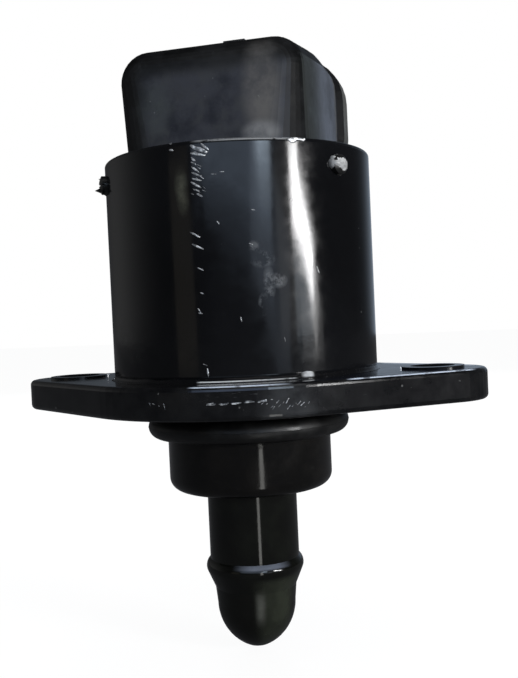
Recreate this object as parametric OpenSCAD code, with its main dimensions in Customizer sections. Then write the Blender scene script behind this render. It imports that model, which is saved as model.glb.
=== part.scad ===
// Idle air control valve: a small claw-pole stepper motor in a painted steel can on a
// two-hole flange, with a moulded electrical socket on top and a sliding pintle below.
// Millimetres. Z is the valve's axis, with the socket up and the pintle down. X runs
// through both bolt holes, and the socket's mouth faces +Y. The origin is the centre of
// the flange's underside, the face that is bolted down.

/* [Can] */
// Outer diameter of the drawn steel can
can_d = 35; // [34:0.5:40]
// Sheet thickness of the can
can_wall = 1.2; // [0.9:0.1:1.5]
// Height of the can above the flange
can_h = 28.2; // [27.6:0.2:34]
// Outside radius where the can's wall turns into its floor
can_corner_r = 0.8; // [0.4:0.1:0.9]
// Outside radius of the can's rim
rim_r = 0.5; // [0.2:0.1:0.7]

/* [Flange] */
// Thickness of the flange plate
flange_t = 4; // [3:0.1:6]
// Distance between the two bolt holes
hole_pitch = 49.4; // [47:0.2:56]
// Diameter of each bolt hole
hole_d = 5.6; // [4.5:0.1:6.6]
// Radius of the rounded ends of the flange
lobe_r = 6.8; // [6.4:0.1:9]
// Radius of the flange's round middle
flange_mid_r = 22; // [19:0.2:24]
// Radius along the flange's edges
flange_edge_r = 0.6; // [0.3:0.1:1.2]
// Height of the raised ring that punching leaves round each hole
hole_ring_h = 0.3; // [0.1:0.1:0.6]
// Width of that ring
hole_ring_w = 1.2; // [0.8:0.1:2]

/* [Nose] */
// Diameter of the nose below the flange
nose_d = 21.8; // [21:0.2:23]
// Length of the nose below the flange
nose_len = 11.1; // [10.5:0.2:14]
// Radius of the nose's lower edge
nose_end_r = 1.7; // [1:0.1:2.6]
// Thickness of the collar that seats on the can's floor
collar_t = 2; // [1.6:0.1:2.4]
// Thickness of the rubber sealing ring
o_ring_t = 3; // [2.6:0.1:3.6]
// Depth of the groove that holds the sealing ring
o_groove_depth = 0.5; // [0.3:0.1:0.8]
// Height of nose between the flange and the groove
o_groove_drop = 0.9; // [0.5:0.1:1.8]

/* [Pintle] */
// Diameter of the pintle's sliding stem
stem_d = 12; // [11:0.2:12.6]
// Wall of the hollow upper stem
stem_wall = 1.1; // [0.9:0.1:1.4]
// Length of stem between the nose and the bead, as it rests
stem_out = 10.6; // [10:0.1:13]
// Largest diameter of the bead
bead_d = 13.1; // [12.8:0.1:14]
// Radius of the bead's section
bead_r = 1.4; // [1:0.1:1.5]
// Length over which the bead runs into the tip
bead_blend = 2.8; // [2:0.1:3.4]
// Length of the tip below the middle of the bead
tip_len = 10.9; // [9.5:0.1:12]
// Length of the tip's nearly straight part
tip_straight = 5; // [4:0.1:5.6]
// Diameter of the tip just below the bead
tip_root_d = 11.5; // [10.8:0.1:12]
// Diameter of the tip where its point starts
tip_mid_d = 10.5; // [9.8:0.1:10.8]
// Diameter of the flat at the end of the tip
tip_end_d = 3; // [1.5:0.1:4]
// Travel into the nose from rest
travel_in = 7.5; // [5:0.25:8]
// Travel out of the nose from rest
travel_out = 1; // [0.5:0.1:1.5]
// Width of each guide key on the stem
key_w = 1.6; // [1.2:0.1:2.4]
// Height of each guide key
key_h = 0.7; // [0.5:0.1:0.9]
// Length of each guide key
key_len = 2.4; // [1.6:0.1:2.6]

/* [Motor] */
// Height of one phase of the stator
phase_h = 9; // [8.5:0.1:9.2]
// Claws on each yoke
claw_count = 6; // [4:1:7]
// Sheet thickness of the yokes
yoke_t = 1; // [0.8:0.1:1.2]
// Bore of the stator
stator_bore_d = 16; // [15.6:0.1:17]
// Width of a claw at its root
claw_root_w = 3.4; // [2.6:0.1:3.6]
// Width of a claw at its tip
claw_tip_w = 1.8; // [1.2:0.1:2.2]
// Wall of the bobbins
bobbin_wall = 0.8; // [0.6:0.1:1]
// Depth of the windings below the bobbin's edge
winding_drop = 0.6; // [0.4:0.1:1]
// Air gap between the magnet and the claws
air_gap = 0.4; // [0.3:0.05:0.6]
// Wall of the magnet ring
magnet_wall = 2.9; // [2:0.1:3]
// Diameter of the lead screw
screw_d = 4; // [3.4:0.1:4.4]

/* [Bearings] */
// Outer diameter of the ball bearing
bearing_d = 16; // [15.6:0.1:17]
// Bore of the ball bearing
bearing_bore_d = 8; // [7.4:0.1:8.2]
// Width of the ball bearing
bearing_w = 4; // [3.6:0.1:4.6]
// Balls in the bearing
ball_count = 8; // [6:1:9]
// Diameter of the balls
ball_d = 2.38; // [2:0.02:2.5]
// Thickness of the spring's seat washer
seat_t = 0.6; // [0.4:0.1:1]
// Outer diameter of the rear bush
bush_d = 9.2; // [8.4:0.1:10]
// Length of the rear bush
bush_len = 2.4; // [1.8:0.1:2.8]
// Diameter of the rotor's rear journal
journal_d = 6; // [5.6:0.1:6.6]
// Thickness of the thrust washer
thrust_t = 0.5; // [0.3:0.1:0.8]
// Wire of the return spring
spring_wire_d = 0.8; // [0.5:0.05:0.9]
// Turns of the return spring
spring_turns = 8; // [5:1:9]

/* [Socket] */
// Width of the closed end of the socket
block_w = 23.8; // [22.4:0.2:24.2]
// Distance of the closed end from the axis
block_front = 12; // [10.5:0.1:12.4]
// Height of the closed end above the can's rim
block_h = 13.1; // [11.8:0.1:13.6]
// Corner radius of the closed end
block_corner_r = 3.9; // [3:0.1:5]
// Radius along the closed end's top edge
block_edge_r = 2.8; // [1.2:0.1:3.2]
// Radius of the closed end's upright edges
block_side_r = 4.6; // [2.4:0.1:5]
// Width of the socket's shell
shell_w = 24.4; // [23.4:0.2:25]
// Height of the shell above the can's rim
shell_h = 15.2; // [14.2:0.1:16]
// Corner radius of the shell
shell_corner_r = 5.2; // [4:0.1:6.5]
// Distance from the axis at which the shell reaches its full width
shell_y = 2; // [0:0.1:4]
// Distance of the lip from the axis
lip_y = 8.6; // [7:0.1:9.4]
// Width of the lip round the mouth
lip_w = 26.2; // [25.2:0.2:29]
// Height of the lip above the can's rim
lip_h = 15.4; // [14.6:0.1:17]
// Corner radius of the lip
lip_corner_r = 6.4; // [4:0.1:7]
// Distance of the mouth from the axis
mouth_y = 12.6; // [11.6:0.1:14]
// Width of the socket's cavity
cavity_w = 20; // [18:0.2:20.8]
// Height of the socket's cavity
cavity_h = 9.6; // [9.2:0.1:10]
// Distance of the cavity's back wall from the axis
cavity_y = 0.5; // [-1:0.1:2]
// Corner radius of the cavity
cavity_r = 2; // [1:0.1:3]
// Distance between neighbouring terminals
pin_pitch = 3.8; // [3.7:0.05:3.9]
// Width of a terminal's blade
blade_w = 1.5; // [1:0.1:2]
// Thickness of a terminal's blade
blade_t = 0.8; // [0.6:0.05:0.9]
// Length of blade that stands in the cavity
blade_len = 8; // [6:0.5:9]
// Distance between neighbouring terminal tails, down in the motor
tail_pitch = 2.5; // [2.2:0.05:2.6]
// Width of the latch nib on the shell
nib_w = 3; // [2:0.1:5]
// Height of the latch nib above the shell
nib_h = 1.5; // [1:0.1:3]
// Length of the latch nib
nib_len = 3.4; // [2.6:0.1:4.2]

/* [Lock pins] */
// Diameter of the pins that lock the socket into the can
lock_d = 2.4; // [2:0.1:2.8]
// Distance of the lock pins below the can's rim
lock_drop = 2.9; // [2.6:0.1:3.2]
// How far a lock pin stands out of the can
lock_proud = 0.9; // [0.6:0.1:1.4]
// Depth of a lock pin in the socket's plug
lock_depth = 1.8; // [1.2:0.1:1.9]
// Thickness of the seal between the plug and the can
plug_seal_t = 1.5; // [1.2:0.1:1.6]

/* [Hidden] */

$fn = 96;

// Clearances between pieces that sit together, that run together and that stop short
fit_gap = 0.03;
run_gap = 0.05;
slide_gap = 0.1;
end_gap = 0.3;
over = 1;

// Segments of the rounded parts that are made by hull
disc_fn = 96;
lobe_fn = 48;
corner_fn = 32;
edge_fn = 16;

// Radii
can_r = can_d / 2;
can_ri = can_r - can_wall;
nose_r = nose_d / 2;
stem_r = stem_d / 2;
screw_r = screw_d / 2;
bearing_r = bearing_d / 2;
stator_r = stator_bore_d / 2;
magnet_r = stator_r - air_gap;
magnet_ri = magnet_r - magnet_wall;
journal_r = journal_d / 2;
yoke_r = can_ri - slide_gap;
barrel_ri = stator_r + yoke_t + slide_gap;
lock_r = lock_d / 2;

// Heights, from the flange's underside up
can_z = flange_t;
floor_top = can_z + can_wall;
rim_z = can_z + can_h;
collar_top = floor_top + collar_t;
phase_z = collar_top + phase_h;
stack_top = phase_z + phase_h;
plug_drop = 0.6;
plug_top = rim_z - plug_drop;
bearing_z = collar_top - bearing_w;
seat_z = bearing_z - seat_t;
lock_z = rim_z - lock_drop;
seal_lip = 1.1;
seal_z = stack_top + seal_lip + plug_seal_t / 2;
magnet_drop = 1;
magnet_z = collar_top + magnet_drop;
magnet_top = stack_top - magnet_drop;
shoulder_z = stack_top - thrust_t - run_gap;

// How far down the bead's section, in degrees, its run into the tip starts
bead_slope = 25;

// Heights, from the flange's underside down
o_ring_z = -o_groove_drop - o_ring_t / 2 - slide_gap;
bead_z = -nose_len - stem_out;
tip_z = bead_z - tip_len;
cup_floor = 3;
cup_z = bead_z + cup_floor;
stem_top = seat_z - end_gap - travel_in;
slot_z = stem_top - key_len - travel_out - end_gap;

// Lead screw: how deep its foot sits in the pintle, and how far below the stator it ends
screw_foot = 4;
screw_z = bead_z - screw_foot;
screw_top = stack_top - screw_foot;
screw_pocket_top = screw_top + travel_in + end_gap;

// Socket
lock_angles = [-30, 90, 210];
floor_wall = 2.8;
cavity_z = plug_top + floor_wall;
blade_z = cavity_z + cavity_h / 2;
nib_y = 4.6;
lip_edge = 0.8;

// Terminals below the socket: a riser, a run that steps sideways, and a tail
back_wall = 3;
riser_y = cavity_y - back_wall;
run_cover = 1.3;
run_z = plug_top - run_cover;
step_y = 6;
tail_w = 0.9;
tail_t = 0.5;
tail_wall = 1.15;
tail_y = can_ri - plug_seal_t - tail_wall;

// Bobbins and the windows that let the tails through the yokes
bobbin_r = tail_y - tail_t / 2 - 2 * slide_gap;
window_side = 0.5;
window_w = 3 * tail_pitch + tail_w + 2 * window_side;
window_y = bobbin_r + slide_gap;
ledge_side = 0.3;
lower_ledge_w = 3 * tail_pitch + tail_w + 2 * ledge_side;
upper_ledge_w = tail_pitch + tail_w + 2 * ledge_side;
ledge_root = 2;

// A plain ring that stands on height z
module ring(z, h, ro, ri) {
    translate([0, 0, z])
        difference() {
            cylinder(h = h, r = ro);
            translate([0, 0, -over])
                cylinder(h = h + 2 * over, r = ri);
        }
}

// A plate's section out to a radius, with both outer edges rounded
module edge_profile(from, to, h, r) {
    translate([from, 0])
        square([to - from - r, h]);
    translate([from, r])
        square([to - from, h - 2 * r]);
    for (z = [r, h - r])
        translate([to - r, z])
            circle(r);
}

module can_profile() {
    difference() {
        union() {
            translate([0, can_z])
                square([can_r - can_corner_r, can_h - rim_r]);
            translate([0, can_z + can_corner_r])
                square([can_r, can_h - can_corner_r - rim_r]);
            translate([can_r - can_corner_r, can_z + can_corner_r])
                circle(can_corner_r);
            translate([0, rim_z - rim_r - over])
                square([can_r - rim_r, rim_r + over]);
            translate([can_r - rim_r, rim_z - rim_r])
                circle(rim_r);
        }
        translate([-over, floor_top])
            square([can_ri + over, can_h]);
        translate([-over, can_z - over])
            square([nose_r + fit_gap + over, can_wall + 2 * over]);
    }
}

// Places a radial pin's axis at each lock position
module at_locks() {
    for (a = lock_angles)
        rotate([0, 0, a])
            translate([0, 0, lock_z])
                rotate([0, 90, 0])
                    children();
}

module motor_can() {
    color([0.05, 0.055, 0.065])
        difference() {
            rotate_extrude()
                can_profile();
            at_locks()
                cylinder(h = can_r + over, r = lock_r + fit_gap);
        }
}

// The plate: a round middle and two round lobes joined by straight sides, all edges rounded
module flange_blank() {
    hull() {
        rotate_extrude($fn = disc_fn)
            edge_profile(0, flange_mid_r, flange_t, flange_edge_r, $fn = edge_fn);
        for (x = [-1, 1])
            translate([x * hole_pitch / 2, 0, 0])
                rotate_extrude($fn = lobe_fn)
                    edge_profile(0, lobe_r, flange_t, flange_edge_r, $fn = edge_fn);
    }
}

module mounting_flange() {
    color([0.05, 0.055, 0.065])
        difference() {
            union() {
                flange_blank();
                for (x = [-1, 1])
                    translate([x * hole_pitch / 2, 0, 0])
                        cylinder(h = flange_t + hole_ring_h, r = hole_d / 2 + hole_ring_w);
            }
            for (x = [-1, 1])
                translate([x * hole_pitch / 2, 0, -over])
                    cylinder(h = flange_t + hole_ring_h + 2 * over, r = hole_d / 2);
            translate([0, 0, -over])
                cylinder(h = flange_t + 2 * over, r = nose_r + fit_gap);
        }
}

// One corner of the closed end: a disc with its front edge rounded
module block_corner() {
    rotate([-90, 0, 0])
        rotate_extrude($fn = corner_fn)
            intersection() {
                edge_profile(0, block_corner_r, 4 * block_edge_r, block_edge_r, $fn = corner_fn);
                square([block_corner_r + over, 2 * block_edge_r]);
            }
}

// The socket's closed end and the shell that widens behind it
module block_body() {
    hull() {
        for (x = [-1, 1]) {
            translate([x * (block_w / 2 - block_corner_r), -block_front, rim_z + block_h - block_corner_r])
                block_corner();
            translate([x * (block_w / 2 - block_side_r), -block_front + block_side_r, plug_top - over])
                cylinder(h = block_h / 2, r = block_side_r, $fn = corner_fn);
            translate([x * (shell_w / 2 - shell_corner_r), lip_y, rim_z + shell_h - shell_corner_r])
                rotate([90, 0, 0])
                    cylinder(h = lip_y - shell_y, r = shell_corner_r, $fn = corner_fn);
            translate([x * (shell_w / 2 - over) - over, shell_y, plug_top - over])
                cube([2 * over, lip_y - shell_y, 2 * over]);
        }
    }
}

// The raised lip round the mouth
module mouth_lip() {
    lip_z = rim_z + lip_edge;
    hull() {
        for (x = [-1, 1], z = [lip_z + lip_corner_r / 2, rim_z + lip_h - lip_corner_r]) {
            r = z > rim_z + lip_h / 2 ? lip_corner_r : lip_corner_r / 2;
            translate([x * (lip_w / 2 - r), mouth_y, z])
                rotate([90, 0, 0]) {
                    cylinder(h = mouth_y - lip_y - lip_edge, r = r, $fn = corner_fn);
                    cylinder(h = mouth_y - lip_y, r = r - lip_edge, $fn = corner_fn);
                }
        }
    }
}

module cavity() {
    translate([0, cavity_y, cavity_z])
        rotate([90, 0, 0])
            mirror([0, 0, 1])
                linear_extrude(mouth_y - cavity_y + over) {
                    translate([-cavity_w / 2 + cavity_r, 0])
                        square([cavity_w - 2 * cavity_r, cavity_h]);
                    translate([-cavity_w / 2, cavity_r])
                        square([cavity_w, cavity_h - 2 * cavity_r]);
                    for (x = [-1, 1], z = [cavity_r, cavity_h - cavity_r])
                        translate([x * (cavity_w / 2 - cavity_r), z])
                            circle(cavity_r);
                }
}

// A ramp on the shell that the plug's latch hooks over
module latch_nib() {
    ramp = nib_len / 2;
    base = rim_z + block_h;
    top = rim_z + shell_h + nib_h;
    translate([-nib_w / 2, nib_y - nib_len, 0])
        rotate([90, 0, 90])
            linear_extrude(nib_w)
                polygon([[0, base], [nib_len, base], [nib_len, top - ramp], [ramp, top], [0, top]]);
}

// A straight stretch of strip between two points in plan, on height z
module strip_run(x0, y0, x1, y1, z, t, g) {
    half = tail_w / 2 + g;
    translate([min(x0, x1) - half, y0 - g, z - g])
        cube([abs(x1 - x0) + 2 * half, y1 - y0 + 2 * g, t + 2 * g]);
}

// One terminal's strip: blade, riser behind the cavity, run across the plug and tail
module terminal_strip(i, tail_end, g) {
    x = (i - 2.5) * pin_pitch;
    tail_x = (i - 2.5) * tail_pitch;
    translate([x - blade_w / 2 - g, riser_y - g, blade_z - blade_t / 2 - g])
        cube([blade_w + 2 * g, cavity_y - riser_y + blade_len + g, blade_t + 2 * g]);
    strip_run(x, riser_y, x, riser_y + tail_t, run_z, blade_z - run_z, g);
    strip_run(x, riser_y, x, step_y + tail_w, run_z, tail_t, g);
    strip_run(x, step_y, tail_x, step_y + tail_w, run_z, tail_t, g);
    strip_run(tail_x, step_y, tail_x, tail_y + tail_t / 2, run_z, tail_t, g);
    strip_run(tail_x, tail_y - tail_t / 2, tail_x, tail_y + tail_t / 2, tail_end, run_z - tail_end + tail_t, g);
}

// The two middle terminals feed the upper phase, the outer two the lower phase
function phase_of(i) = i == 2 || i == 3 ? phase_z : collar_top;
function ledge_top(i) = phase_of(i) + yoke_t + slide_gap + bobbin_wall;

module terminal(i) {
    color([0.72, 0.7, 0.62])
        terminal_strip(i, ledge_top(i), 0);
}

module connector_housing() {
    color([0.13, 0.13, 0.135])
        difference() {
            union() {
                translate([0, 0, stack_top])
                    cylinder(h = plug_top - stack_top, r = can_ri - fit_gap);
                block_body();
                mouth_lip();
                latch_nib();
            }
            cavity();
            for (i = [1:4])
                terminal_strip(i, stack_top - over, fit_gap);
            at_locks()
                translate([0, 0, can_ri - lock_depth - fit_gap])
                    cylinder(h = can_r, r = lock_r + fit_gap);
            rotate_extrude()
                translate([can_ri - plug_seal_t, seal_z - plug_seal_t / 2 - slide_gap])
                    square([plug_seal_t, plug_seal_t + 2 * slide_gap]);
            translate([0, 0, stack_top - over])
                cylinder(h = bush_len + over, r = bush_d / 2 + fit_gap);
            translate([0, 0, stack_top - over])
                cylinder(h = screw_pocket_top - stack_top + over, r = journal_r + end_gap);
        }
}

// A pin with a domed, split head
module lock_pin() {
    head = can_r + lock_proud;
    slit = 0.35;
    difference() {
        intersection() {
            translate([0, 0, can_ri - lock_depth])
                cylinder(h = head - can_ri + lock_depth, r = lock_r);
            translate([0, 0, head - 2 * lock_r])
                sphere(2 * lock_r);
        }
        translate([0, 0, can_r])
            rotate([90, 0, 0])
                linear_extrude(2 * lock_d, center = true)
                    polygon([[0, 0], [-slit, lock_proud + over], [slit, lock_proud + over]]);
    }
}

module lock_pins() {
    color([0.75, 0.76, 0.78])
        at_locks()
            lock_pin();
}

module plug_seal() {
    color([0.04, 0.04, 0.04])
        translate([0, 0, seal_z])
            rotate_extrude()
                translate([can_ri - plug_seal_t / 2, 0])
                    circle(plug_seal_t / 2 - fit_gap);
}

module nose_profile() {
    difference() {
        union() {
            translate([0, -nose_len + nose_end_r])
                square([nose_r, nose_len - nose_end_r + collar_top]);
            translate([0, -nose_len])
                square([nose_r - nose_end_r, nose_end_r + over]);
            translate([nose_r - nose_end_r, -nose_len + nose_end_r])
                circle(nose_end_r);
            translate([0, floor_top])
                square([can_ri - fit_gap, collar_t]);
        }
        translate([nose_r - o_groove_depth, o_ring_z - o_ring_t / 2 - slide_gap])
            square([o_ring_t, o_ring_t + 2 * slide_gap]);
        translate([-over, -nose_len - over])
            square([stem_r + slide_gap + over, nose_len + seat_z + 2 * over]);
        translate([-over, seat_z])
            square([bearing_r + fit_gap + over, collar_top]);
    }
}

module key_pair(z, h, r, w) {
    for (a = [0, 180])
        rotate([0, 0, a])
            translate([0, -w / 2, z])
                cube([r, w, h]);
}

module nose_housing() {
    color([0.09, 0.09, 0.095])
        difference() {
            rotate_extrude()
                nose_profile();
            key_pair(slot_z, seat_z - slot_z + seat_t, stem_r + key_h + slide_gap, key_w + 2 * slide_gap);
        }
}

module nose_o_ring() {
    color([0.035, 0.035, 0.035])
        translate([0, 0, o_ring_z])
            rotate_extrude()
                translate([nose_r - o_groove_depth + fit_gap + o_ring_t / 2, 0])
                    circle(o_ring_t / 2);
}

// The pintle's outside: stem, bead, tapered tip and rounded point
module pintle_outline() {
    tip_r = tip_root_d / 2;
    mid_r = tip_mid_d / 2;
    end_r = tip_end_d / 2;
    mid_z = bead_z - tip_straight;
    drop = mid_z - tip_z;
    point_r = (drop * drop + (mid_r - end_r) * (mid_r - end_r)) / (2 * (mid_r - end_r));
    blend_low = bead_z - bead_blend;
    blend_r = tip_r - (tip_r - mid_r) * bead_blend / tip_straight;
    leave_r = bead_d / 2 - bead_r + bead_r * cos(bead_slope);
    leave_z = bead_z - bead_r * sin(bead_slope);
    polygon([[0, mid_z], [mid_r, mid_z], [tip_r, bead_z], [stem_r, bead_z], [stem_r, stem_top], [0, stem_top]]);
    polygon([[0, leave_z], [leave_r, leave_z], [blend_r, blend_low], [0, blend_low]]);
    translate([bead_d / 2 - bead_r, bead_z])
        circle(bead_r);
    intersection() {
        translate([mid_r - point_r, mid_z])
            circle(point_r);
        translate([0, tip_z])
            square([mid_r + over, drop + over]);
    }
}

// The bore for the lead screw, with a short boss round it, and the hollow of the stem
module pintle_hollow() {
    boss_r = screw_r + 1;
    boss_h = 1.5;
    translate([0, screw_z])
        square([screw_r + fit_gap, stem_top - screw_z + over]);
    translate([boss_r, cup_z])
        square([stem_r - stem_wall - boss_r, stem_top - cup_z + over]);
    translate([0, cup_z + boss_h])
        square([stem_r - stem_wall, stem_top - cup_z]);
}

module pintle() {
    color([0.1, 0.105, 0.1]) {
        rotate_extrude()
            difference() {
                pintle_outline();
                pintle_hollow();
            }
        difference() {
            key_pair(stem_top - key_len, key_len, stem_r + key_h, key_w);
            translate([0, 0, bead_z])
                cylinder(h = stem_top - bead_z + over, r = stem_r - stem_wall / 2);
        }
    }
}

module lead_screw() {
    tip_bevel = 0.5;
    color([0.7, 0.71, 0.73])
        rotate_extrude()
            polygon([
                [0, screw_z], [screw_r, screw_z], [screw_r, screw_top - tip_bevel],
                [screw_r - tip_bevel, screw_top], [0, screw_top]
            ]);
}

// One point on the spring's wire: t turns up, at angle a round the wire
function spring_point(t, a, pitch, mean_r, z0) =
    let (r = mean_r + spring_wire_d / 2 * cos(a))
    [r * cos(360 * t), r * sin(360 * t), z0 + pitch * t + spring_wire_d / 2 * sin(a)];

module return_spring() {
    sides = 8;
    steps = 20;
    rings = spring_turns * steps;
    mean_r = stem_r - stem_wall - end_gap - spring_wire_d / 2;
    low = cup_z + spring_wire_d / 2 + slide_gap;
    high = seat_z - spring_wire_d / 2 - slide_gap;
    pitch = (high - low) / spring_turns;
    points = [
        for (k = [0:rings], s = [0:sides - 1])
            spring_point(k / steps, -360 * s / sides, pitch, mean_r, low)
    ];
    skin = [
        for (k = [0:rings - 1], s = [0:sides - 1])
            let (n = (s + 1) % sides)
            [k * sides + s, (k + 1) * sides + s, (k + 1) * sides + n, k * sides + n]
    ];
    first = [[for (s = [0:sides - 1]) s]];
    last = [[for (s = [sides - 1:-1:0]) rings * sides + s]];
    color([0.66, 0.67, 0.69])
        polyhedron(points, concat(skin, first, last));
}

module spring_seat() {
    color([0.7, 0.71, 0.72])
        ring(seat_z, seat_t, bearing_r, screw_r + end_gap);
}

pitch_r = (bearing_r + bearing_bore_d / 2) / 2;
race_depth = 0.9;
race_wall = (bearing_r - bearing_bore_d / 2) / 2 - race_depth;
ball_z = bearing_z + bearing_w / 2;

// One race with its raceway; relief keeps a turning race clear of the washer below
module race(ri, ro, relief) {
    difference() {
        ring(bearing_z + relief, bearing_w - relief, ro, ri);
        rotate_extrude()
            translate([pitch_r, ball_z])
                circle(ball_d / 2 + run_gap);
    }
}

module bearing_outer_race() {
    color([0.74, 0.75, 0.77])
        race(bearing_r - race_wall, bearing_r, 0);
}

module bearing_inner_race() {
    color([0.74, 0.75, 0.77])
        race(bearing_bore_d / 2, bearing_bore_d / 2 + race_wall, slide_gap);
}

module at_balls() {
    for (i = [0:ball_count - 1])
        rotate([0, 0, 360 * i / ball_count])
            translate([pitch_r, 0, ball_z])
                children();
}

module bearing_balls() {
    color([0.8, 0.81, 0.83])
        at_balls()
            sphere(ball_d / 2);
}

module bearing_cage() {
    cage_h = 0.8 * bearing_w;
    cage_t = 0.7;
    color([0.72, 0.6, 0.33])
        difference() {
            ring(ball_z - cage_h / 2, cage_h, pitch_r + cage_t / 2, pitch_r - cage_t / 2);
            at_balls()
                sphere(ball_d / 2 + run_gap);
        }
}

module rotor_hub() {
    foot_rim = 0.8;
    hub_end = stack_top + bush_len - slide_gap;
    color([0.82, 0.8, 0.74])
        difference() {
            union() {
                translate([0, 0, bearing_z + slide_gap])
                    cylinder(h = bearing_w, r = bearing_bore_d / 2 - fit_gap);
                translate([0, 0, collar_top])
                    cylinder(h = magnet_z - collar_top, r = magnet_ri + foot_rim);
                translate([0, 0, magnet_z])
                    cylinder(h = shoulder_z - magnet_z, r = magnet_ri - fit_gap);
                translate([0, 0, shoulder_z])
                    cylinder(h = hub_end - shoulder_z, r = journal_r);
            }
            translate([0, 0, bearing_z - over])
                cylinder(h = hub_end - bearing_z + 2 * over, r = screw_r + run_gap);
        }
}

module rotor_magnet() {
    color([0.2, 0.2, 0.21])
        ring(magnet_z, magnet_top - magnet_z, magnet_r, magnet_ri);
}

module thrust_washer() {
    color([0.85, 0.84, 0.8])
        ring(shoulder_z, thrust_t, magnet_ri - fit_gap, journal_r + fit_gap);
}

module rear_bush() {
    color([0.62, 0.45, 0.24])
        ring(stack_top, bush_len, bush_d / 2, journal_r + run_gap);
}

// Tapered claws that rise from z, still filled in to the axis
module claws(z, reach, turn) {
    intersection() {
        translate([0, 0, z])
            cylinder(h = reach, r = stator_r + yoke_t);
        for (i = [0:claw_count - 1])
            rotate([0, 0, turn + 360 * i / claw_count])
                translate([0, 0, z])
                    rotate([90, 0, 90])
                        linear_extrude(stator_r + 2 * yoke_t)
                            polygon([
                                [-claw_root_w / 2, 0], [claw_root_w / 2, 0],
                                [claw_tip_w / 2, reach], [-claw_tip_w / 2, reach]
                            ]);
    }
}

// Bores the stator and cuts the window that the terminals' tails pass through
module cut_yoke(z) {
    difference() {
        children();
        translate([0, 0, z - over])
            cylinder(h = phase_h + 2 * over, r = stator_r);
        translate([-window_w / 2, window_y, z - over])
            cube([window_w, can_r, phase_h + 2 * over]);
    }
}

// Outer yoke: a plate with claws and a wall that reaches the inner yoke
module outer_yoke(z, turn) {
    cut_yoke(z) {
        translate([0, 0, z])
            cylinder(h = yoke_t, r = yoke_r);
        ring(z, phase_h - yoke_t, yoke_r, yoke_r - yoke_t);
        claws(z, phase_h - yoke_t - end_gap, turn);
    }
}

// Inner yoke: a flat plate with claws
module inner_yoke(z, turn) {
    cut_yoke(z) {
        translate([0, 0, z])
            cylinder(h = yoke_t, r = yoke_r);
        claws(z, phase_h - yoke_t - end_gap, turn);
    }
}

// Turns a yoke upside down about height z
module upside_down(z) {
    translate([0, 0, 2 * z])
        mirror([0, 0, 1])
            children();
}

half_pitch = 180 / claw_count;

module lower_outer_yoke() {
    color([0.6, 0.61, 0.62])
        outer_yoke(collar_top, 0);
}

module lower_inner_yoke() {
    color([0.6, 0.61, 0.62])
        upside_down(phase_z)
            inner_yoke(phase_z, half_pitch);
}

module upper_inner_yoke() {
    color([0.6, 0.61, 0.62])
        inner_yoke(phase_z, half_pitch / 2);
}

module upper_outer_yoke() {
    color([0.6, 0.61, 0.62])
        upside_down(stack_top)
            outer_yoke(stack_top, 3 * half_pitch / 2);
}

// A flanged spool with a ledge where the ends of its wire meet the terminals' tails
module bobbin(z, ledge_w) {
    low = z + yoke_t + slide_gap;
    h = phase_h - 2 * yoke_t - 2 * slide_gap;
    ledge_y = bobbin_r - ledge_root;
    color([0.78, 0.76, 0.68]) {
        ring(low, h, barrel_ri + bobbin_wall, barrel_ri);
        for (dz = [0, h - bobbin_wall])
            ring(low + dz, bobbin_wall, bobbin_r, barrel_ri);
        translate([-ledge_w / 2, ledge_y, low])
            cube([ledge_w, tail_y + tail_t / 2 - ledge_y, bobbin_wall]);
    }
}

module winding(z) {
    low = z + yoke_t + slide_gap + bobbin_wall;
    h = phase_h - 2 * yoke_t - 2 * slide_gap - 2 * bobbin_wall;
    color([0.6, 0.28, 0.12])
        ring(low + fit_gap, h - 2 * fit_gap, bobbin_r - winding_drop, barrel_ri + bobbin_wall + fit_gap);
}

motor_can();
mounting_flange();
connector_housing();
terminal(1);  // terminal_1
terminal(2);  // terminal_2
terminal(3);  // terminal_3
terminal(4);  // terminal_4
lock_pins();
plug_seal();
nose_housing();
nose_o_ring();
pintle();
lead_screw();
return_spring();
spring_seat();
bearing_outer_race();
bearing_inner_race();
bearing_balls();
bearing_cage();
rotor_hub();
rotor_magnet();
thrust_washer();
rear_bush();
lower_outer_yoke();
lower_inner_yoke();
upper_inner_yoke();
upper_outer_yoke();
bobbin(collar_top, lower_ledge_w);  // lower_bobbin
bobbin(phase_z, upper_ledge_w);  // upper_bobbin
winding(collar_top);  // lower_winding
winding(phase_z);  // upper_winding
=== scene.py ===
"""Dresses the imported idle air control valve: finishes, paint wear, fine detail, studio and camera.

Metres, in the frame of the CAD. Z is the valve's axis, with the socket up and the pintle down.
"""

import math
import random

import bmesh
import bpy
from bpy.props import FloatProperty, FloatVectorProperty, IntProperty, PointerProperty
from mathutils import Matrix, Vector


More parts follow.
